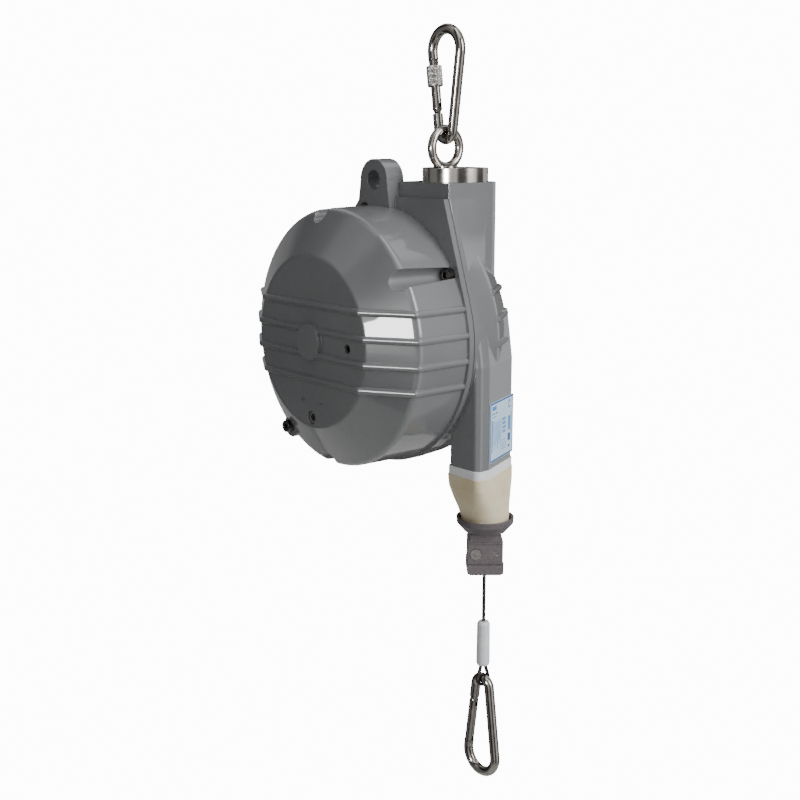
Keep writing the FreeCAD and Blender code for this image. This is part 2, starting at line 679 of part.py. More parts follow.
def clamp_half(name, side):
    """Half of the clamp block; side is -1 for the half with the screw head, +1 for the threaded one."""
    near, far = (-half_depth, Size(-0.2)) if side < 0 else (Size(0.2), half_depth)
    face = side * half_depth
    form = prism(name + "_form", [
        (-half_width, clamp_low + 3), (-half_width + 3, clamp_low), (half_width - 3, clamp_low),
        (half_width, clamp_low + 3), (half_width, clamp_low + 12), (half_width - 0.8, clamp_low + 14),
        (half_width - 0.8, clamp_top - 7), (half_width - 3, clamp_top - 5), (half_width - 3, clamp_top),
        (3 - half_width, clamp_top), (3 - half_width, clamp_top - 5), (0.8 - half_width, clamp_top - 7),
        (0.8 - half_width, clamp_low + 14), (-half_width, clamp_low + 12)], near, far)
    groove = rod_z(name + "_groove", 0, 0, rope_fit, clamp_low - 1, clamp_top + 1)
    return form, groove


screw_level = clamp_low + s["clamp_height"] * 0.52
clamp_screw_radius, screw_x, head_sink = s["clamp_screw_radius"], s["clamp_screw_x"], s["clamp_head_sink"]
front_form, front_groove = clamp_half("clamp_a", -1)
rear_form, rear_groove = clamp_half("clamp_b", 1)


def clamp_bores(name, head_side):
    """Bores for the two clamp screws, one from each side, with a sunk seat for the head."""
    tools = []
    for i, (x, side) in enumerate(((-screw_x, -1), (screw_x, 1))):
        tools.append(rod_y("%s_bore_%d" % (name, i), x, screw_level, clamp_screw_radius, -half_depth - 1,
                           half_depth + 1))
        if side == head_side:
            edge = side * half_depth
            near, far = (edge - 1, edge + head_sink) if side < 0 else (edge - head_sink, edge + 1)
            tools.append(rod_y("%s_seat_%d" % (name, i), x, screw_level, s["clamp_head_radius"] + 0.3, near, far))
    return tools


turn = float(s["clamp_turn"])
on_rope("clamp_front", cut("clamp_front_cut", front_form, front_groove, *clamp_bores("clamp_a", -1)), turn)
on_rope("clamp_rear", cut("clamp_rear_cut", rear_form, rear_groove, *clamp_bores("clamp_b", 1)), turn)
screw_a, screw_b = [socket_screw(
    "clamp_screw_%d" % i, -screw_x, screw_level, head_sink - half_depth, s["clamp_depth"] - head_sink - 2,
    s["clamp_head_radius"], head_sink + 0.5, clamp_screw_radius) for i in range(2)]
screw_b.Placement.Rotation = FreeCAD.Rotation(FreeCAD.Vector(0, 0, 1), 180)
on_rope("clamp_screws", bundle("clamp_screw_pair", screw_a, screw_b), turn)

# ---------------------------------------------------------------- rope, ferrule and loop
sleeve_top, sleeve_low = s["sleeve_top"], s["sleeve_top"] - s["sleeve_length"]
on_rope("rope", rod_z("rope_line", 0, 0, s["rope_radius"], sleeve_top, 0))
ferrule_top = sleeve_top - 10
on_rope("ferrule", rod_z("ferrule_form", 0, 0, 4.6, sleeve_low + 1, ferrule_top))
sleeve_form = turned_z("sleeve_form", [
    (0, sleeve_low), (s["sleeve_radius"] - 0.8, sleeve_low), (s["sleeve_radius"], sleeve_low + 3),
    (s["sleeve_radius"] - 0.4, sleeve_top - 3), (s["sleeve_radius"] - 2, sleeve_top), (0, sleeve_top)])
on_rope("ferrule_sleeve", cut("sleeve_bored", sleeve_form, rod_z(
    "sleeve_bore", 0, 0, 4.65, sleeve_low - 1, ferrule_top)))
loop_radius = s["hook_wire"] + s["run_gap"] + s["rope_radius"]
bar_top = sleeve_low - s["loop_top"] - loop_radius
start, tight = FreeCAD.Vector(0, 2.3, float(sleeve_low + 0.05)), float(loop_radius)
centre = FreeCAD.Vector(0, 0, float(bar_top))
slope = math.radians(20)
left = centre + FreeCAD.Vector(0, tight * math.cos(slope), tight * math.sin(slope))
right_end = FreeCAD.Vector(0, -left.y, left.z)
loop_end = FreeCAD.Vector(0, -start.y, start.z)
loop_low = centre - FreeCAD.Vector(0, 0, tight)
rope_size = s["rope_radius"]
on_rope("rope_loop", fuse(
    "loop_bar", straight("loop_leg_0", rope_size, start, left), ball("loop_knee_0", rope_size, left),
    bend("loop_bend", rope_size, left, right_end, centre, loop_low), ball("loop_knee_1", rope_size, right_end),
    straight("loop_leg_1", rope_size, right_end, loop_end)))
loop_length = (left - start).Length * 2 + tight * (math.pi + 2 * slope)

# ---------------------------------------------------------------- carabiners
tilt = (wide.number - narrow.number) / span.number
normal_x, normal_z = -math.sqrt(1 - tilt * tilt), -tilt
wide_centre = FreeCAD.Vector(0, 0, float(wire - wide))
narrow_centre = wide_centre - FreeCAD.Vector(0, 0, float(span))


def gate_line(drop):
    """A point on the gate side's centre line, this far below the wide arc's tangent point."""
    start_point = wide_centre + FreeCAD.Vector(normal_x, 0, normal_z) * float(wide)
    return start_point + FreeCAD.Vector(-normal_z, 0, normal_x) * float(drop)


side_length = math.sqrt(span.number ** 2 - (wide.number - narrow.number) ** 2)
nose = gate_line(s["nose_drop"])
hinge = gate_line(side_length - s["hinge_rise"].number)
stub = gate_line(side_length - s["hinge_rise"].number + s["gate_radius"].number + s["gate_gap"].number)
down = (hinge - nose).normalize()
gate_pitch = math.degrees(math.atan2(down.x, -down.z))


def across(name, centre, radius, half):
    """A round pin along Y."""
    return rod_y(name, centre.x, centre.z, radius, -half, half)


def tongue_plate(name, centre, reach):
    """A flat tongue on the bar's end, rounded about the pin, that enters the gate's slot."""
    plate = doc.addObject("Part::Box", name + "_plate")
    bind(plate, "Length", s["gate_radius"] * 1.5)
    bind(plate, "Width", s["tongue"])
    plate.Height = reach
    plate.Placement = FreeCAD.Placement(
        centre, FreeCAD.Rotation(FreeCAD.Vector(0, 1, 0), -gate_pitch)) * FreeCAD.Placement(
        FreeCAD.Vector(-float(s["gate_radius"]) * 0.75, -float(s["tongue"]) / 2, -reach), FreeCAD.Rotation())
    return fuse(name, plate, across(name + "_round", centre, s["gate_radius"] * 0.75, s["tongue"] / 2))


def carabiner(prefix):
    """Bent bar, gate and gate pin; the bar's crown lies over the origin."""
    bottom = narrow_centre - FreeCAD.Vector(0, 0, float(narrow))
    crown = wide_centre + FreeCAD.Vector(0, 0, float(wide))
    left_low = narrow_centre + FreeCAD.Vector(normal_x, 0, normal_z) * float(narrow)
    right_low = FreeCAD.Vector(-left_low.x, 0, left_low.z)
    left_high = wide_centre + FreeCAD.Vector(normal_x, 0, normal_z) * float(wide)
    right_high = FreeCAD.Vector(-left_high.x, 0, left_high.z)
    bar = fuse(
        prefix + "_bar", straight(prefix + "_stub", wire, stub, left_low),
        bend(prefix + "_narrow_bend", wire, left_low, right_low, narrow_centre, bottom),
        straight(prefix + "_side", wire, right_low, right_high),
        bend(prefix + "_wide_bend", wire, right_high, left_high, wide_centre, crown),
        straight(prefix + "_nose", wire, left_high, nose))
    hinge_tongue = tongue_plate(prefix + "_hinge_tongue", hinge, 9)
    catch = nose + down * float(s["catch_reach"])
    nose_tongue = doc.addObject("Part::Box", prefix + "_nose_tongue")
    bind(nose_tongue, "Length", s["gate_radius"] * 1.3)
    bind(nose_tongue, "Width", s["tongue"])
    bind(nose_tongue, "Height", s["catch_reach"] + 2)
    nose_tongue.Placement = FreeCAD.Placement(
        catch, FreeCAD.Rotation(FreeCAD.Vector(0, 1, 0), -gate_pitch)) * FreeCAD.Placement(
        FreeCAD.Vector(-float(s["gate_radius"]) * 0.65, -float(s["tongue"]) / 2, 0), FreeCAD.Rotation())
    body = cut(prefix + "_body_bored", fuse(prefix + "_body", bar, hinge_tongue, nose_tongue),
               across(prefix + "_pin_bore", hinge, s["pin_radius"] + s["fit"], wire))
    gate_start = nose + down * float(s["gate_gap"])
    gate_rod = doc.addObject("Part::Cylinder", prefix + "_gate_rod")
    bind(gate_rod, "Radius", s["gate_radius"])
    gate_rod.Height = (hinge - gate_start).Length
    gate_rod.Placement = FreeCAD.Placement(
        hinge, FreeCAD.Rotation(FreeCAD.Vector(0, 0, 1), gate_start - hinge))
    knuckle = doc.addObject("Part::Sphere", prefix + "_gate_knuckle")
    bind(knuckle, "Radius", s["gate_radius"])
    knuckle.Placement.Base = hinge

    def slot(name, centre, low, high):
        gap = doc.addObject("Part::Box", name)
        gap.Length = 30
        bind(gap, "Width", s["tongue"] + 0.7)
        gap.Height = high - low
        gap.Placement = FreeCAD.Placement(
            centre, FreeCAD.Rotation(FreeCAD.Vector(0, 1, 0), -gate_pitch)) * FreeCAD.Placement(
            FreeCAD.Vector(-15, -(float(s["tongue"]) + 0.7) / 2, low), FreeCAD.Rotation())
        return gap

    gate = cut(prefix + "_gate_slotted", fuse(prefix + "_gate_form", gate_rod, knuckle),
               slot(prefix + "_hinge_slot", hinge, -8, 4.8), slot(prefix + "_nose_slot", nose, -6.2, 3),
               across(prefix + "_gate_bore", hinge, s["pin_radius"] + s["fit"], wire))
    pin = across(prefix + "_pin", hinge, s["pin_radius"], s["gate_radius"] + 0.6)
    return body, gate, pin


top_body, top_gate, top_pin = carabiner("top")
node("top_hook_body", top_body)
node("top_gate", top_gate)
node("top_gate_pin", top_pin)

# screw sleeve on the top gate, standing below the nose
lock_top = nose + down * float(s["lock_drop"])
lock_form = doc.addObject("Part::Cylinder", "lock_form")
bind(lock_form, "Radius", s["lock_radius"])
bind(lock_form, "Height", s["lock_length"])
lock_bore = doc.addObject("Part::Cylinder", "lock_bore")
bind(lock_bore, "Radius", wire + 0.35)
bind(lock_bore, "Height", s["lock_length"] + 2)
lock_end = lock_top + down * float(s["lock_length"])
for thing, centre in ((lock_form, lock_end), (lock_bore, lock_end + down)):
    thing.Placement = FreeCAD.Placement(centre, FreeCAD.Rotation(FreeCAD.Vector(0, 0, 1), down * -1))
node("lock_sleeve", cut("lock_ring", lock_form, lock_bore))

low_body, low_gate, low_pin = carabiner("low")


def hang_low(label, shape):
    """The bottom carabiner hangs wide end down: turned half round about X from the top one."""
    if any("Placement" in path for path, formula in shape.ExpressionEngine):
        shape = bundle(label + "_node", shape)
    shape.Label = label
    shape.Placement.Rotation = FreeCAD.Rotation(FreeCAD.Vector(1, 0, 0), 180)
    move(shape, s["drum_x"] + rope_x, s["seam_y"] + s["rope_y"],
         drum_z + bar_top - (span + narrow + wide - wire))
    nodes.append(shape)


hang_low("bottom_hook_body", low_body)
hang_low("bottom_gate", low_gate)
hang_low("bottom_gate_pin", low_pin)

# ---------------------------------------------------------------- eye nut and swivel
plate_top = drum_z + block_top + s["plate_thick"]
plate_low = drum_z + block_top
ring = doc.addObject("Part::Torus", "eye_ring")
bind(ring, "Radius1", s["eye_radius"])
bind(ring, "Radius2", s["eye_wire"])
ring.Placement.Rotation = FreeCAD.Rotation(FreeCAD.Vector(0, 1, 0), 90)
move(ring, 0, 0, eye_z)
neck = rod_z("eye_neck", 0, 0, s["neck_radius"], plate_low + 1, plate_top + s["neck_show"] + 0.8)
node("eye_nut", cut("eye_tapped", fuse("eye_form", ring, neck),
                    rod_z("eye_thread", 0, 0, s["stud_radius"], plate_low, plate_low + 11)))
nut_top = plate_low - s["run_gap"] - s["bearing_height"]
nut_low = nut_top - s["nut_height"]
node("swivel_stud", turned_z("stud_form", [
    (0, nut_low - 2), (s["stud_radius"] - 1, nut_low - 2), (s["stud_radius"] - s["fit"], nut_low - 1),
    (s["stud_radius"] - s["fit"], plate_low + 10.5), (0, plate_low + 10.5)]))
hexagon = doc.addObject("Part::Prism", "nut_hexagon")
hexagon.Polygon = 6
bind(hexagon, "Circumradius", s["nut_radius"])
bind(hexagon, "Height", s["nut_height"])
move(hexagon, 0, 0, nut_low)
node("swivel_nut", cut("nut_tapped", hexagon, rod_z("nut_thread", 0, 0, s["stud_radius"], nut_low - 1, nut_top + 1)))
node("thrust_bearing", turned_z("bearing_form", [
    (s["stud_radius"] + 0.3, nut_top), (s["bearing_radius"], nut_top), (s["bearing_radius"], nut_top + 3),
    (s["bearing_radius"] - 1.5, nut_top + 3), (s["bearing_radius"] - 1.5, nut_top + 6.3),
    (s["bearing_radius"], nut_top + 6.3), (s["bearing_radius"], nut_top + s["bearing_height"]),
    (s["stud_radius"] + 0.3, nut_top + s["bearing_height"])]))
plate_form = rod_z("plate_form", s["plate_x"], s["plate_y"], s["plate_radius"], plate_low, plate_top)
node("swivel_plate", cut("plate_bored", plate_form,
                         rod_z("plate_bore", 0, 0, s["neck_radius"] + s["run_gap"], plate_low - 1, plate_top + 1)))

# ---------------------------------------------------------------- shaft, drum and spring
shaft_front, shaft_back = wall - cover_depth + 0.5, s["back_depth"] - back_wall - 0.5
in_drum_frame("drum_shaft", lathe("shaft_form", [
    (s["shaft_bore"], shaft_front), (s["shaft_radius"] - s["fit"], shaft_front),
    (s["shaft_radius"] - s["fit"], shaft_back), (s["shaft_bore"], shaft_back)]))


def rope_track(depth):
    """Radius of the wound rope's centre line at this depth."""
    return rope_x + s["drum_taper"] * (s["rope_y"] - depth)


def groove(depth, rope=s["rope_radius"]):
    """Half-round groove in the drum's tapered rim."""
    track = rope_track(depth)
    return [(track + 0.6, depth - rope - 0.4), (track - rope * 0.8, depth - rope * 0.75),
            (track - rope - 0.3, depth), (track - rope * 0.8, depth + rope * 0.75),
            (track + 0.6, depth + rope + 0.4)]


front, back = s["drum_front"], s["drum_back"]
rim = [(rope_track(front) + 0.6, front)]
for i in range(int(s["groove_count"].number)):
    rim += groove(s["rope_y"] - s["groove_pitch"] * (s["groove_count"].number - 1 - i))
rim += [(rope_track(s["rope_y"]) + 2, s["rope_y"] + 2.9), (rope_track(s["rope_y"]) + 2, back)]
case_radius = R - s["case_inset"]
foot = case_radius + s["fit"]
inner = [(foot, back), (foot, back - s["drum_foot"]), (rope_track(back) - s["drum_wall"], back - s["drum_foot"]),
         (rope_track(front) - s["drum_wall"] - 4, front)]
in_drum_frame("rope_drum", lathe("drum_form", rim + inner))
case_front, case_back = s["case_front"], s["case_back"]
case_in, hub_front = case_radius - s["case_wall"], case_back - s["hub_length"]
bearing_out = s["shaft_radius"] + s["bearing_wall"]
in_drum_frame("spring_case", lathe("case_form", [
    (bearing_out, case_back), (bearing_out, hub_front), (s["hub_radius"], hub_front),
    (s["hub_radius"], case_back - s["case_web"]), (case_in, case_back - s["case_web"]),
    (case_in, case_front), (case_radius, case_front), (case_radius, case_back)]))
bearing_width, bearing_gap = s["bearing_width"], s["bearing_gap"]
for label, at in (("drum_bearing_front", hub_front + bearing_gap / 2),
                  ("drum_bearing_rear", hub_front + bearing_gap * 1.5 + bearing_width)):
    in_drum_frame(label, lathe(label + "_form", [
        (s["shaft_radius"], at), (bearing_out - s["fit"], at),
        (bearing_out - s["fit"], at + bearing_width), (s["shaft_radius"], at + bearing_width)]))
turns_wound = bundle("rope_turn_set", *[
    lathe("rope_turn_%d" % i, [
        (rope_track(at) - s["rope_radius"] * 0.95, at - 0.6), (rope_track(at) - s["rope_radius"] * 0.95, at + 0.6),
        (rope_track(at), at + s["rope_radius"]), (rope_track(at) + s["rope_radius"], at + 0.6),
        (rope_track(at) + s["rope_radius"], at - 0.6), (rope_track(at), at - s["rope_radius"])])
    for i, at in enumerate([s["rope_y"] - s["groove_pitch"] * k for k in (1, 2)])])
in_drum_frame("wound_rope", turns_wound)

# spring arbor with the adjusting gear, and the pinion whose socket shows in the adjusting hole


def gear_wire(module, teeth, phase, thin):
    """Trapezoid teeth with relieved flanks; phase is the angle of the first tooth."""
    pitch = module * teeth / 2
    step = 2 * math.pi / teeth
    points = []
    for i in range(teeth):
        base = phase + i * step
        for share, radius in ((-0.30, pitch - 1.2 * module), (-0.25 + thin, pitch), (-0.13, pitch + 0.85 * module),
                              (0.13, pitch + 0.85 * module), (0.25 - thin, pitch),
                              (0.30, pitch - 1.2 * module)):
            angle = base + share * step
            points.append(FreeCAD.Vector(radius * math.cos(angle), 0, radius * math.sin(angle)))
    return Part.makePolygon(points + points[:1])


def gear(name, module, teeth, phase, low, width):
    face = Part.Face(gear_wire(float(module), int(teeth.number), phase, 0.02))
    outline = wire_feature(name + "_face", face)
    disc = doc.addObject("Part::Extrusion", name)
    disc.Base = outline
    disc.DirMode = "Custom"
    disc.Dir = FreeCAD.Vector(0, 1, 0)
    disc.Solid = True
    bind(disc, "LengthFwd", width)
    bind(disc, "Placement.Base.y", low)
    return disc


gear_depth, gear_wide = gear_front, s["gear_width"]
spring_front = case_front + s["spring_gap"]
arbor_back = spring_front + s["spring_width"] + 1
sleeve_out = s["shaft_radius"] + s["sleeve_wall"]
wheel = gear("adjust_wheel", s["gear_module"], s["gear_teeth"], -math.pi / 2, gear_depth, gear_wide)
arbor = lathe("arbor_sleeve", [
    (s["shaft_radius"], gear_depth), (s["arbor_radius"], gear_depth),
    (s["arbor_radius"], gear_depth + gear_wide + 2), (sleeve_out, gear_depth + gear_wide + 5),
    (sleeve_out, spring_front - 4), (s["arbor_radius"], spring_front - 1), (s["arbor_radius"], arbor_back),
    (s["shaft_radius"], arbor_back)])
web_in, web_out = s["arbor_radius"] + 4, s["gear_module"] * s["gear_teeth"] / 2 - 9
wheel_recess = lathe("wheel_recess", [
    (web_in, gear_depth - 1), (web_out, gear_depth - 1), (web_out, gear_depth + gear_wide - s["wheel_web"]),
    (web_in, gear_depth + gear_wide - s["wheel_web"])])
wheel_holes = [rod_y("wheel_hole_%d" % i, *on_circle((web_in + web_out) / 2, 54 + 72 * i), s["wheel_hole"],
                     gear_depth - 1, gear_depth + gear_wide + 1) for i in range(5)]
in_drum_frame("spring_arbor", cut(
    "arbor_bored", fuse("arbor_form", wheel, arbor), wheel_recess, *wheel_holes,
    rod_y("arbor_bore", 0, 0, s["shaft_radius"], gear_depth - 1, arbor_back + 1)))
pinion_centre = s["gear_module"] * (s["gear_teeth"] + s["pinion_teeth"]) / 2
pinion = gear("pinion_wheel", s["gear_module"], s["pinion_teeth"], math.pi / 2 + math.pi / 13, gear_depth,
              gear_wide)
stem = rod_y("pinion_stem", 0, 0, s["pinion_stem"], 2 - cover_depth, gear_depth + 1)
key = doc.addObject("Part::Prism", "pinion_key")
key.Polygon = 6
bind(key, "Circumradius", s["socket_across"] / 2)
key.Height = 8
key.Placement.Rotation = FreeCAD.Rotation(FreeCAD.Vector(1, 0, 0), -90)
move(key, 0, 2 - cover_depth, 0)
pinion_form = cut("pinion_form", fuse("pinion_blank", pinion, stem), key)
node("adjusting_pinion", pinion_form, s["drum_x"], s["seam_y"], drum_z - pinion_centre)


def spiral_face():
    """The power spring as one flat coil: two Archimedean spirals joined at their ends."""
    inner_radius, outer_radius = float(s["arbor_radius"]) + 0.3, float(case_in) - 1.0
    thick, turns = float(s["spring_thick"]), float(s["spring_turns"])
    count = int(turns * 16)

    def edge(offset):
        points = []
        for i in range(count + 1):
            share = i / count
            radius = inner_radius + (outer_radius - thick - inner_radius) * share + offset
            angle = 2 * math.pi * turns * share
            points.append(FreeCAD.Vector(radius * math.cos(angle), 0, radius * math.sin(angle)))
        return points

    near, far = edge(0.0), edge(thick)
    return Part.Face(Part.makePolygon(near + far[::-1] + near[:1]))


coil = doc.addObject("Part::Extrusion", "spring_coil")
coil.Base = wire_feature("spring_face", spiral_face())
coil.DirMode = "Custom"
coil.Dir = FreeCAD.Vector(0, 1, 0)
coil.Solid = True
bind(coil, "LengthFwd", s["spring_width"])
move(coil, 0, spring_front, 0)
in_drum_frame("power_spring", bundle("spring_node", coil))

doc.recompute()
problems = [o.Name for o in doc.Objects if "Invalid" in o.State or "Error" in o.State]
for shape in nodes:
    if shape.Shape.isNull() or not shape.Shape.isValid():
        problems.append(shape.Label)
if problems:
    raise SystemExit("these objects failed: " + ", ".join(problems))
os.makedirs("parts", exist_ok=True)
for shape in nodes:
    shape.Shape.exportStep("parts/%s.step" % shape.Label)
    print("%-22s solids %d  volume %.0f" % (shape.Label, len(shape.Shape.Solids), shape.Shape.Volume))
section = math.pi * float(rope_size) ** 2
print("rope loop: bend radius %.2f, length %.1f, section times length %.0f" % (
    float(loop_radius), loop_length, section * loop_length))
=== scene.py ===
import math

import bmesh
import bpy
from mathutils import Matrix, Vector


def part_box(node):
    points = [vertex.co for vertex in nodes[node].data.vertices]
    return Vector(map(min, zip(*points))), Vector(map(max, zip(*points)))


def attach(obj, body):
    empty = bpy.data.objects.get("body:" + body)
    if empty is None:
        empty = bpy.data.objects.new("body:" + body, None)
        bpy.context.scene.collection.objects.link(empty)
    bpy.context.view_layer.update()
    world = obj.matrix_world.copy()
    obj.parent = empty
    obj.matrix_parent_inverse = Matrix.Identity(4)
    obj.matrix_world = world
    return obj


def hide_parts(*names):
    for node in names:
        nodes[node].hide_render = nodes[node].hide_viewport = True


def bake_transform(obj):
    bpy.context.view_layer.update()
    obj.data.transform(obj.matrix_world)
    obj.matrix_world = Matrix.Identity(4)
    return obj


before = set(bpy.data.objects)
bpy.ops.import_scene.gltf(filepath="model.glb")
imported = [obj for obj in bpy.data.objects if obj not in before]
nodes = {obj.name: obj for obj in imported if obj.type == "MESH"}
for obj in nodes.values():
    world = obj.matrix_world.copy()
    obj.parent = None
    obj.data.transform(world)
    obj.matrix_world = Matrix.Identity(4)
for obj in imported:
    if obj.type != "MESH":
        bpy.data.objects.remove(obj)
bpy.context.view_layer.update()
scene = bpy.context.scene


# ---- Camera
# The viewer stands in front and to the right of the hanging balancer, a little above its middle, and
# looks slightly down at it through a portrait lens from about 1.3 m away.
camera_data = bpy.data.cameras.new("camera")
camera = bpy.data.objects.new("camera", camera_data)
scene.collection.objects.link(camera)
camera.location = (0.9635, -0.8811, -0.0940)
heading, pitch = math.radians(49.6), math.radians(12.11)
sensor_width, focal_share = 36.0, 1257.0 / 800.0
camera.rotation_euler = (math.pi / 2 - pitch, 0.0, heading)
camera_data.sensor_width = sensor_width
camera_data.lens = sensor_width * focal_share
camera_data.clip_start = 0.01
scene.camera = camera


# ---- Studio: paper floor, white cyclorama and soft boxes
# A matte paper disc lies below the rope's full reach, in a white room that is brighter toward the
# upper right and hung with dark curtains, which give polished metal its dark and bright lines. A tall
# soft box on the right lights the sides. A small one in front shows only as a mirrored window.
def srgb(hex_colour):
    """An sRGB hex colour as the linear colour that shaders take."""
    value = hex_colour.lstrip("#")
    linear = []
    for i in (0, 2, 4):
        c = int(value[i:i + 2], 16) / 255.0
        linear.append(c / 12.92 if c <= 0.04045 else ((c + 0.055) / 1.055) ** 2.4)
    return (*linear, 1.0)


def add(tree, kind, inputs=None, **settings):
    """One node with its settings; inputs maps socket names or numbers to values or output sockets."""
    item = tree.nodes.new(kind)
    for name, value in settings.items():
        setattr(item, name, value)
    for name, value in (inputs or {}).items():
        socket = item.inputs[name]
        if isinstance(value, bpy.types.NodeSocket):
            tree.links.new(value, socket)
        else:
            socket.default_value = value
    return item


def new_material(name, **finish):
    """A principled material and its object coordinates; finish holds constant socket values."""
    material = bpy.data.materials.new(name)
    material.use_nodes = True
    tree = material.node_tree
    tree.nodes.clear()
    sockets = {key.replace("_", " ").title().replace("Ior", "IOR"): value for key, value in finish.items()}
    shader = add(tree, "ShaderNodeBsdfPrincipled", sockets)
    add(tree, "ShaderNodeOutputMaterial", {"Surface": shader.outputs[0]})
    return material, tree, shader, add(tree, "ShaderNodeTexCoord").outputs["Object"]


floor_radius, floor_level = 3.2, -2.95
bpy.ops.mesh.primitive_circle_add(vertices=96, radius=floor_radius, fill_type="NGON",
                                  location=(0, 0, floor_level))
floor = bpy.context.object
floor.name = "floor"
paper, tree, shader, place = new_material("matte_white_paper", roughness=0.9)
shader.inputs["Base Color"].default_value = srgb("f2f2f0")
floor.data.materials.append(paper)

world = bpy.data.worlds.new("studio")
scene.world = world
world.use_nodes = True
tree = world.node_tree
tree.nodes.clear()
toward = add(tree, "ShaderNodeVectorMath", {0: add(tree, "ShaderNodeTexCoord").outputs["Generated"],
                                            1: (0.72, 0.24, 0.65)}, operation="DOT_PRODUCT")
room = add(tree, "ShaderNodeMapRange", {0: toward.outputs["Value"], 1: -0.3, 2: 0.95, 3: 0.16, 4: 0.9})
look = add(tree, "ShaderNodeSeparateXYZ", {0: toward.inputs[0].links[0].from_socket})
curtain_count = 5.0
azimuth = add(tree, "ShaderNodeMath", {0: look.outputs["Y"], 1: look.outputs["X"]}, operation="ARCTAN2")
curtains = add(tree, "ShaderNodeMath", {0: azimuth.outputs[0], 1: curtain_count}, operation="MULTIPLY")
curtains = add(tree, "ShaderNodeMath", {0: curtains.outputs[0]}, operation="SINE")
curtains = add(tree, "ShaderNodeMapRange", {0: curtains.outputs[0], 1: -0.35, 2: 0.35, 3: 0.2, 4: 1.8})
room = add(tree, "ShaderNodeMath", {0: room.outputs[0], 1: curtains.outputs[0]}, operation="MULTIPLY")
room_light = add(tree, "ShaderNodeBackground", {"Color": srgb("ffffff"), "Strength": room.outputs[0]})
cyclorama = add(tree, "ShaderNodeBackground", {"Color": srgb("ffffff"), "Strength": 13.0})
mix = add(tree, "ShaderNodeMixShader", {0: add(tree, "ShaderNodeLightPath").outputs["Is Camera Ray"],
                                       1: room_light.outputs[0], 2: cyclorama.outputs[0]})
add(tree, "ShaderNodeOutputWorld", {"Surface": mix.outputs[0]})


def soft_box(name, location, target, size, power):
    light = bpy.data.lights.new(name, "AREA")
    light.shape = "RECTANGLE"
    light.size, light.size_y = size
    light.energy = power
    lamp = bpy.data.objects.new(name, light)
    scene.collection.objects.link(lamp)
    lamp.location = location
    lamp.rotation_euler = (Vector(target) - Vector(location)).to_track_quat("-Z", "Y").to_euler()
    return lamp


drum_centre = Vector((-0.053, -0.036, -0.3035))
soft_box("tall_box_right", (1.65, 0.35, 0.5), drum_centre, (0.7, 1.3), 27)
window = soft_box("window_in_front", (0.47, -1.65, -0.14), (0.05, -0.12, -0.28), (0.34, 0.32), 20)
window.visible_diffuse = False
soft_box("top_box", (0.5, -0.2, 1.3), drum_centre, (0.3, 1.2), 5)


# ---- Castings
# Two halves of the housing, pressure die-cast in aluminium and sprayed with grey two-pack enamel.
# The spray leaves a faint orange peel, and the cast edges are rounded by about a millimetre.
def coat(node, material):
    """Give a CAD node its material."""
    nodes[node].data.materials.clear()
    nodes[node].data.materials.append(material)


def rounded_edges(tree, shader, radius, height=None, strength=0.0, depth=0.001):
    """Soft edges of a cast or moulded piece, with the grain of its surface on top of them."""
    edge = add(tree, "ShaderNodeBevel", {"Radius": radius}, samples=4).outputs[0]
    if height is not None:
        edge = add(tree, "ShaderNodeBump", {"Height": height, "Strength": strength, "Distance": depth,
                                            "Normal": edge}).outputs[0]
    tree.links.new(edge, shader.inputs["Normal"])


def two_tone(tree, shader, place, size_mm, first, second, rough=None):
    """A soft change between two colours whose patches are size_mm across; rough is (low, high)."""
    cloud = add(tree, "ShaderNodeTexNoise", {"Vector": place, "Scale": 1000.0 / size_mm, "Detail": 3.0})
    ramp = add(tree, "ShaderNodeValToRGB", {0: cloud.outputs[0]})
    for element, at, colour in zip(ramp.color_ramp.elements, (0.35, 0.65), (first, second)):
        element.position, element.color = at, srgb(colour)
    tree.links.new(ramp.outputs[0], shader.inputs["Base Color"])
    if rough is not None:
        spread = add(tree, "ShaderNodeMapRange",
                     {0: cloud.outputs[0], 1: 0.3, 2: 0.7, 3: rough[0], 4: rough[1]})
        tree.links.new(spread.outputs[0], shader.inputs["Roughness"])
    return cloud


enamel, tree, shader, place = new_material("grey_enamel_on_die_cast_aluminium", coat_weight=1.0,
                                           coat_roughness=0.05)
two_tone(tree, shader, place, 60.0, "6c6e70", "717375", (0.34, 0.42))
peel = add(tree, "ShaderNodeTexNoise", {"Vector": place, "Scale": 450.0, "Detail": 2.0})
rounded_edges(tree, shader, 0.0014, peel.outputs[0], 0.05, 0.0005)
for name in ("front_cover", "rear_housing"):
    coat(name, enamel)


# Cast signs beside the adjusting hole: plus and minus, 0.6 mm proud, which say which way to turn.
def plates(name, blocks, at, across, up, out, body, materials):
    """Flat blocks on a plane: each is (centre across, centre up, width, height, thickness, material)."""
    mesh = bmesh.new()
    for x, y, width, height, thick, slot in blocks:
        made = bmesh.ops.create_cube(mesh, size=1.0)["verts"]
        for vert in made:
            c = vert.co.copy()
            vert.co = at + across * (x + c.x * width) + up * (y + c.y * height) + out * ((c.z + 0.5) * thick)
        for face in {f for v in made for f in v.link_faces}:
            face.material_index = slot
    bmesh.ops.recalc_face_normals(mesh, faces=mesh.faces)
    data = bpy.data.meshes.new(name)
    mesh.to_mesh(data)
    mesh.free()
    for material in materials:
        data.materials.append(material)
    piece = bpy.data.objects.new(name, data)
    scene.collection.objects.link(piece)
    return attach(piece, body)


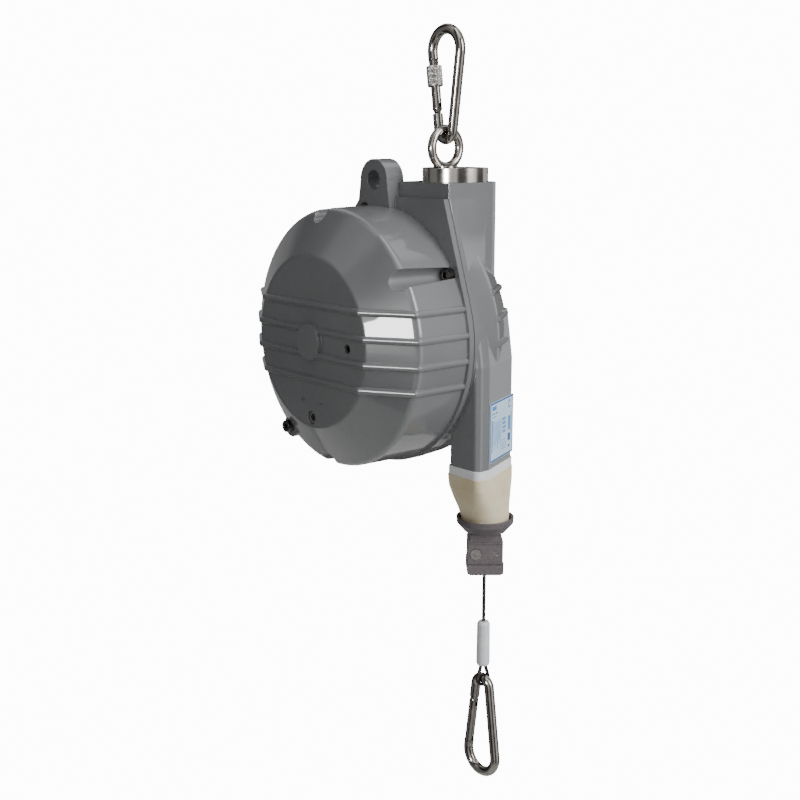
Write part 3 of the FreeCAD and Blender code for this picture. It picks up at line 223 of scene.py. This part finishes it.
mm = 0.001
face_point = Vector((drum_centre.x, drum_centre.y - 99 * mm, drum_centre.z))
signs = plates("turning_signs", [
    (-15 * mm, -62 * mm, 6 * mm, 1.2 * mm, 0.7 * mm, 0), (-15 * mm, -62 * mm, 1.2 * mm, 6 * mm, 0.7 * mm, 0),
    (15 * mm, -62 * mm, 6 * mm, 1.2 * mm, 0.7 * mm, 0)],
    face_point + Vector((0, 0.0001, 0)), Vector((1, 0, 0)), Vector((0, 0, 1)), Vector((0, -1, 0)), "housing",
    [enamel])


# ---- Cover screws
# Socket head cap screws of alloy steel, turned and rolled, then blackened in hot oxide and oiled:
# nearly black, with a soft satin shine on the edges of the head.
black_oxide, tree, shader, place = new_material("black_oxide_steel", metallic=1.0, coat_weight=0.2,
                                                coat_roughness=0.25)
two_tone(tree, shader, place, 3.0, "4c4b4a", "6a6866", (0.16, 0.28))
rounded_edges(tree, shader, 0.0005)
for name in ("cover_screws", "tower_screw"):
    coat(name, black_oxide)


# ---- Label
# A self-adhesive polyester label on the slanted face of the spine, printed in blue on pale blue with
# generic bars in place of words. The print is drawn as raised films of a few hundredths.
label_base, tree, shader, place = new_material("polyester_label", roughness=0.32, coat_weight=0.3)
two_tone(tree, shader, place, 25.0, "bcdcf4", "cbe4f7")
coat("label_plate", label_base)
ink_dark, tree, shader, place = new_material("dark_blue_print", roughness=0.35)
two_tone(tree, shader, place, 4.0, "13508f", "1b5c9e")
ink_light, tree, shader, place = new_material("blue_print", roughness=0.35)
two_tone(tree, shader, place, 3.0, "2c7cc4", "3c8bd0")
label_turn = math.atan2(25.0, 59.0)
label_out = Vector((math.cos(label_turn), math.sin(label_turn), 0))
label_across = Vector((-math.sin(label_turn), math.cos(label_turn), 0))
label_corner = Vector((87.75, -17.8, -423.5)) * mm + label_out * 0.6 * mm
side = 62.0
print_blocks = [(side / 2, 1.3, side - 1.6, 1.8, 0), (side / 2, side - 1.3, side - 1.6, 1.8, 0),
                (1.3, side / 2, 1.8, side - 4.4, 0), (side - 1.3, side / 2, 1.8, side - 4.4, 0)]
print_blocks += [(11, 55.5, 11, 4.2, 1), (9, 50, 7, 1.2, 0), (17, 50, 6, 1.2, 0), (11, 46.6, 12, 0.9, 1)]
print_blocks += [(5.4, 27, 2.0, 34, 0), (8.6, 30, 1.0, 26, 1)]
print_blocks += [(12.5 + 2.6 * i, 27 + (i % 3) * 1.5, 0.8, 30 - (i % 3) * 5, 1) for i in range(7)]
print_blocks += [(34 + 3.1 * (i % 3), 40 - 4.4 * (i // 3), 2.2, 3.0, 1 if i % 4 else 0) for i in range(12)]
print_blocks += [(37, 18.0 - 3.0 * i, 12, 0.8, 1) for i in range(4)]
print_blocks += [(49, 53, 1.2, 7.0, 0), (52, 50, 4.5, 1.2, 0), (50.5, 56.6, 2.6, 2.6, 0)]
print_blocks += [(51, 33, 5.5, 15, 1), (51, 18, 6.5, 8.0, 0), (56.6, 33, 1.2, 22, 1), (51, 8.6, 4.0, 3.0, 0)]
artwork = plates("label_print", [(x * mm, y * mm, w * mm, h * mm, 0.06 * mm, slot)
                                 for x, y, w, h, slot in print_blocks],
                 label_corner, label_across, Vector((0, 0, 1)), label_out, "housing", [ink_dark, ink_light])


# ---- Rope guide and its collar
# The collar is moulded in white nylon. The guide below it is a funnel of natural polyethylene, which
# is milky, a little waxy, and lets light glow through its thin edge.
nylon, tree, shader, place = new_material("white_nylon", roughness=0.38, subsurface_weight=0.15)
two_tone(tree, shader, place, 20.0, "e8e9ec", "f2f3f5")
shader.inputs["Subsurface Radius"].default_value = (0.004, 0.003, 0.003)
rounded_edges(tree, shader, 0.001)
coat("guide_collar", nylon)
polyethylene, tree, shader, place = new_material("natural_polyethylene", roughness=0.36,
                                                 subsurface_weight=0.55)
two_tone(tree, shader, place, 30.0, "dccdab", "e3dabd")
shader.inputs["Subsurface Radius"].default_value = (0.012, 0.009, 0.006)
rounded_edges(tree, shader, 0.0015)
coat("rope_guide", polyethylene)


# ---- Stop dish and rope clamp
# A moulded dish of hard grey rubber that meets the guide, and under it a two-part clamp cast in zinc
# and tumbled matt, closed on the rope by two cap screws.
rubber, tree, shader, place = new_material("hard_grey_rubber", roughness=0.5)
two_tone(tree, shader, place, 8.0, "5c5659", "655f62", (0.42, 0.55))
rounded_edges(tree, shader, 0.0012)
coat("stop_dish", rubber)
zinc, tree, shader, place = new_material("tumbled_zinc_casting", metallic=0.35)
grain = two_tone(tree, shader, place, 1.6, "6d6668", "7a7375", (0.36, 0.5))
rounded_edges(tree, shader, 0.0009, grain.outputs[0], 0.12, 0.0003)
for name in ("clamp_front", "clamp_rear"):
    coat(name, zinc)
# A thicker foot and two cast ridges stiffen each face of the clamp.
clamp_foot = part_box("clamp_front")[0][2]
clamp_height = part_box("clamp_front")[1][2] - clamp_foot
clamp_turn = math.radians(50)
for side_name, side in (("front", 1), ("rear", -1)):
    face_out = Vector((math.sin(clamp_turn), -math.cos(clamp_turn), 0)) * side
    face_across = Vector((math.cos(clamp_turn), math.sin(clamp_turn), 0)) * side
    bands = plates("clamp_bands_" + side_name, [
        (0, 6.2 * mm, 37.4 * mm, 9.6 * mm, 1.5 * mm, 0), (0, 13.6 * mm, 38.0 * mm, 1.8 * mm, 1.1 * mm, 0),
        (0, clamp_height - 9.0 * mm, 35.6 * mm, 1.6 * mm, 1.0 * mm, 0)],
        Vector((65 * mm, 0, clamp_foot)) + face_out * 13.3 * mm, face_across, Vector((0, 0, 1)), face_out,
        "rope_end", [zinc])
zinc_plate, tree, shader, place = new_material("zinc_plated_screw", metallic=1.0)
two_tone(tree, shader, place, 3.0, "a9a6a4", "bcb9b6", (0.16, 0.26))
coat("clamp_screws", zinc_plate)


# ---- Wire rope
# Stainless wire rope, 4 mm: a core and six strands laid round it with a lay of 26 mm. It runs off the
# drum, down through the guide, the dish and the clamp, and into the pressed sleeve.
rope_steel, tree, shader, place = new_material("drawn_stainless_wire", metallic=1.0)
two_tone(tree, shader, place, 1.2, "2c2a27", "5c5955", (0.25, 0.4))


def strand_tree(name, material):
    """Strands laid round a path in the YZ plane, each of them a round wire."""
    tree = bpy.data.node_groups.new(name, "GeometryNodeTree")
    sockets = {}
    for label, kind, value in (("Geometry", "NodeSocketGeometry", None), ("Strands", "NodeSocketInt", 6),
                               ("Lay radius", "NodeSocketFloat", 1.3 * mm),
                               ("Lay", "NodeSocketFloat", 26 * mm),
                               ("Strand radius", "NodeSocketFloat", 0.68 * mm),
                               ("Step", "NodeSocketFloat", 1.5 * mm)):
        sockets[label] = tree.interface.new_socket(label, in_out="INPUT", socket_type=kind)
        if value is not None:
            sockets[label].default_value = value
    tree.interface.new_socket("Geometry", in_out="OUTPUT", socket_type="NodeSocketGeometry")
    given = add(tree, "NodeGroupInput").outputs
    copies = add(tree, "ShaderNodeMath", {0: given["Strands"], 1: 1.0}, operation="ADD").outputs[0]
    even = add(tree, "GeometryNodeResampleCurve",
               {"Curve": given["Geometry"], "Length": given["Step"]}, mode="LENGTH")
    laid = add(tree, "GeometryNodeDuplicateElements", {0: even.outputs[0], "Amount": copies}, domain="SPLINE")
    index = laid.outputs["Duplicate Index"]
    part = add(tree, "ShaderNodeMath", {0: index, 1: given["Strands"]}, operation="DIVIDE").outputs[0]
    run = add(tree, "ShaderNodeMath", {0: add(tree, "GeometryNodeSplineParameter").outputs["Length"],
                                       1: given["Lay"]}, operation="DIVIDE").outputs[0]
    turns = add(tree, "ShaderNodeMath", {0: part, 1: run}, operation="ADD").outputs[0]
    angle = add(tree, "ShaderNodeMath", {0: turns, 1: 2 * math.pi}, operation="MULTIPLY").outputs[0]
    outer = add(tree, "ShaderNodeMath", {0: index, 1: 1.0}, operation="MINIMUM").outputs[0]
    reach = add(tree, "ShaderNodeMath", {0: outer, 1: given["Lay radius"]}, operation="MULTIPLY").outputs[0]
    cosine = add(tree, "ShaderNodeMath", {0: angle}, operation="COSINE").outputs[0]
    sine = add(tree, "ShaderNodeMath", {0: angle}, operation="SINE").outputs[0]
    beside = add(tree, "ShaderNodeVectorMath", {0: add(tree, "GeometryNodeInputTangent").outputs[0],
                                                1: (1.0, 0.0, 0.0)}, operation="CROSS_PRODUCT").outputs[0]
    first = add(tree, "ShaderNodeVectorMath", {0: (1.0, 0.0, 0.0), "Scale": cosine},
                operation="SCALE").outputs[0]
    second = add(tree, "ShaderNodeVectorMath", {0: beside, "Scale": sine}, operation="SCALE").outputs[0]
    both = add(tree, "ShaderNodeVectorMath", {0: first, 1: second}, operation="ADD").outputs[0]
    offset = add(tree, "ShaderNodeVectorMath", {0: both, "Scale": reach}, operation="SCALE").outputs[0]
    moved = add(tree, "GeometryNodeSetPosition", {0: laid.outputs[0], "Offset": offset})
    ring = add(tree, "GeometryNodeCurvePrimitiveCircle", {"Resolution": 7, "Radius": given["Strand radius"]})
    skin = add(tree, "GeometryNodeCurveToMesh", {0: moved.outputs[0], 1: ring.outputs[0], "Fill Caps": True})
    solid = add(tree, "GeometryNodeRealizeInstances", {0: skin.outputs[0]})
    done = add(tree, "GeometryNodeSetMaterial", {0: solid.outputs[0], "Material": material})
    add(tree, "NodeGroupOutput", {0: done.outputs[0]})
    return tree


strands = strand_tree("laid_strands", rope_steel)


def lay_rope(name, route, lay):
    """A laid rope along the smooth line of a route's control points, and the points of that line."""
    path = bpy.data.curves.new(name + "_path", "CURVE")
    path.dimensions = "3D"
    line = path.splines.new("NURBS")
    line.points.add(len(route) - 1)
    for knot, point in zip(line.points, route):
        knot.co = (*point, 1.0)
    line.order_u = 3
    line.use_endpoint_u = True
    line.resolution_u = 24
    guide = bpy.data.objects.new(name + "_path", path)
    scene.collection.objects.link(guide)
    bare = bpy.data.meshes.new_from_object(guide)
    points = [vert.co.copy() for vert in bare.vertices]
    bpy.data.meshes.remove(bare)
    modifier = guide.modifiers.new("laid", "NODES")
    modifier.node_group = strands
    for item in strands.interface.items_tree:
        if item.item_type == "SOCKET" and item.in_out == "INPUT" and item.name == "Lay":
            modifier[item.identifier] = lay
    bpy.context.view_layer.update()
    made = bpy.data.meshes.new_from_object(guide.evaluated_get(bpy.context.evaluated_depsgraph_get()))
    bpy.data.objects.remove(guide)
    made.name = name
    piece = bpy.data.objects.new(name, made)
    scene.collection.objects.link(piece)
    return piece, points


rope_top, sleeve_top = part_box("rope")[1][2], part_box("ferrule_sleeve")[1][2]
rope_x, rope_y = 65 * mm, 0.0
guide_mouth, clamp_under = -438.5 * mm, -547.3 * mm
rope_levels = (rope_top, guide_mouth, clamp_under, sleeve_top - 0.5 * mm)
rope_route = [Vector((rope_x, rope_y, z)) for z in rope_levels]
lay_length = 26 * mm
wire_rope, rope_points = lay_rope("wire_rope", rope_route, lay_length)
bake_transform(wire_rope)
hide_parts("rope")
for name in ("wound_rope", "rope_loop"):
    coat(name, rope_steel)


# The eye of the rope's end: the same rope bent round the carabiner and pressed back into the sleeve.
loop_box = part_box("rope_loop")
loop_low, loop_high = loop_box[0][2] + 2 * mm, loop_box[1][2]
bend_radius = 7.55 * mm
bend_centre = loop_low + bend_radius
# Control points of the eye: two straight legs, and corners outside the bend that the line cuts.
slope, part_turn = math.radians(20), math.radians(27.5)
corner_reach = bend_radius / math.cos(part_turn)
corners = [slope - part_turn * k for k in (1, 3, 5, 7)]
leg_start = (2.3 * mm, loop_high)
leg_end = (bend_radius * math.cos(slope), bend_centre + bend_radius * math.sin(slope))
eye_route = [leg_start, leg_end]
eye_route += [(corner_reach * math.cos(a), bend_centre + corner_reach * math.sin(a)) for a in corners]
eye_route += [(-y, z) for y, z in eye_route[1::-1]]
rope_eye = lay_rope("rope_eye", [Vector((rope_x, rope_y + y, z)) for y, z in eye_route], lay_length)[0]
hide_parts("rope_loop")
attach(rope_eye, "rope_end")


# ---- Pressed sleeve
# An aluminium ferrule pressed on the rope's end, inside a heat-shrunk sleeve of pale grey vinyl that
# has drawn itself smooth over it.
vinyl, tree, shader, place = new_material("pale_vinyl_sleeve", roughness=0.4, coat_weight=0.1)
two_tone(tree, shader, place, 14.0, "dfe2e6", "e8eaed")
rounded_edges(tree, shader, 0.001)
coat("ferrule_sleeve", vinyl)
pressed, tree, shader, place = new_material("pressed_aluminium", metallic=1.0)
two_tone(tree, shader, place, 4.0, "b4b6b8", "c2c4c6", (0.3, 0.42))
coat("ferrule", pressed)


# ---- Carabiners
# Round steel bar, bent hot and plated with bright nickel, with a sprung gate on a riveted pin. The
# plating mirrors the dark and light of the room, with the faint waves of barrel polishing.
nickel, tree, shader, place = new_material("barrel_polished_nickel", metallic=1.0)
wave = two_tone(tree, shader, place, 9.0, "8f8b86", "a39f99", (0.10, 0.2))
rounded_edges(tree, shader, 0.0004, wave.outputs[0], 0.04, 0.0006)
for name in ("top_hook_body", "top_gate", "top_gate_pin",
             "bottom_hook_body", "bottom_gate", "bottom_gate_pin"):
    coat(name, nickel)

# The lock: a steel sleeve that screws up over the nose, with a diamond knurl between plain ends.
knurled, tree, shader, place = new_material("knurled_plated_steel", metallic=1.0)
two_tone(tree, shader, place, 1.5, "a8a6a2", "c4c2be", (0.26, 0.4))
# The carabiner's bends and their distance in millimetres give the lean of the side that it slides on.
hook_wire, hook_wide, hook_narrow, hook_span = 5.25, 20.5, 10.2, 77.5
nose_drop, lock_drop = 6.0, 6.3
tilt = (hook_wide - hook_narrow) / hook_span
upright = math.sqrt(1 - tilt * tilt)
lean = Vector((tilt, 0, -upright))
tangent_point = Vector((-upright * hook_wide, 0, hook_wire - hook_wide - tilt * hook_wide))
lock_top = (tangent_point + lean * (nose_drop + lock_drop)) * mm
lock_length, lock_radius, lock_bore, teeth = 20.5 * mm, 8.2 * mm, 5.6 * mm, 30
around, along = teeth * 4, 44
side_on = Vector((0, 1, 0))
other_on = lean.cross(side_on)


def knurl(turn, share):
    """Depth of the knurl, from 0 on the crests to 1 in the crossing grooves."""
    if share < 0.1 or share > 0.9:
        return 0.35
    twist = share * lock_length / (2 * math.pi * lock_radius) * teeth
    waves = [abs(((turn * teeth + sign * twist) % 1.0) * 2 - 1) for sign in (-1, 1)]
    return max(waves)


lock = bmesh.new()
rings = []
profile = [(i / along, None) for i in range(along + 1)]
for share, flat in [(0.0, lock_bore), (0.0, lock_radius - 0.9 * mm)] + profile + [
        (1.0, lock_radius - 0.9 * mm), (1.0, lock_bore)]:
    ring = []
    for k in range(around):
        turn = k / around
        radius = flat if flat is not None else lock_radius - 0.42 * mm * knurl(turn, share)
        if flat is None and share in (0.0, 1.0):
            radius = lock_radius - 0.5 * mm
        inset = 0.0 if flat is not None else min(max(share, 0.02), 0.98) - share
        angle = 2 * math.pi * turn
        ring.append(lock.verts.new(lock_top + lean * (share + inset) * lock_length
                                   + (side_on * math.cos(angle) + other_on * math.sin(angle)) * radius))
    rings.append(ring)
for i in range(len(rings)):
    upper, lower = rings[i], rings[(i + 1) % len(rings)]
    for k in range(around):
        lock.faces.new((upper[k], upper[(k + 1) % around], lower[(k + 1) % around], lower[k]))
bmesh.ops.recalc_face_normals(lock, faces=lock.faces)
lock_mesh = bpy.data.meshes.new("knurled_lock")
lock.to_mesh(lock_mesh)
lock.free()
lock_mesh.materials.append(knurled)
knurled_lock = bpy.data.objects.new("knurled_lock", lock_mesh)
scene.collection.objects.link(knurled_lock)
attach(knurled_lock, "hanger_lock")
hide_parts("lock_sleeve")
coat("lock_sleeve", knurled)


# ---- Eye nut, swivel and cover plate
# A drop-forged eye nut, polished and nickel plated, screwed on a turned stud that hangs on a thrust
# bearing inside the block. The round plate on top is turned steel with a brushed, plated face.
forged, tree, shader, place = new_material("polished_forged_nickel", metallic=1.0)
wave = two_tone(tree, shader, place, 7.0, "9b9792", "aca8a2", (0.12, 0.22))
rounded_edges(tree, shader, 0.0008, wave.outputs[0], 0.05, 0.0006)
coat("eye_nut", forged)
turned, tree, shader, place = new_material("turned_plated_steel", metallic=1.0)
two_tone(tree, shader, place, 18.0, "a8a49e", "b8b4ae", (0.12, 0.2))
rounded_edges(tree, shader, 0.0008)
coat("swivel_plate", turned)
# Shafts and gears are machined steel with a dull, even grey. Bearing races are ground, so brighter.
machined, tree, shader, place = new_material("machined_steel", metallic=1.0)
two_tone(tree, shader, place, 5.0, "8d8c8a", "9a9997", (0.3, 0.42))
for name in ("swivel_stud", "swivel_nut", "drum_shaft", "adjusting_pinion", "spring_arbor"):
    coat(name, machined)
ground, tree, shader, place = new_material("ground_bearing_steel", metallic=1.0)
two_tone(tree, shader, place, 6.0, "a6a6a6", "b2b2b2", (0.12, 0.22))
for name in ("thrust_bearing", "drum_bearing_front", "drum_bearing_rear"):
    coat(name, ground)


# ---- Rope drum and power spring
# The tapered drum is cast in aluminium and its grooves are turned, which leaves fine rings. It sits on
# a pressed steel case with a dull rolled skin, round the dark, smooth, blued strip of the power spring.
turned_aluminium, tree, shader, place = new_material("turned_cast_aluminium", metallic=1.0)
rings_pattern = add(tree, "ShaderNodeMapping", {"Vector": place, "Scale": (40.0, 2000.0, 40.0)})
two_tone(tree, shader, rings_pattern.outputs[0], 1000.0, "b6b7b8", "c6c7c8", (0.3, 0.45))
coat("rope_drum", turned_aluminium)
pressed_steel, tree, shader, place = new_material("pressed_sheet_steel", metallic=1.0)
two_tone(tree, shader, place, 30.0, "7f8183", "8b8d8f", (0.35, 0.5))
coat("spring_case", pressed_steel)
blued, tree, shader, place = new_material("blued_spring_strip", metallic=1.0)
two_tone(tree, shader, place, 12.0, "3c4456", "4a4f5c", (0.2, 0.32))
coat("power_spring", blued)
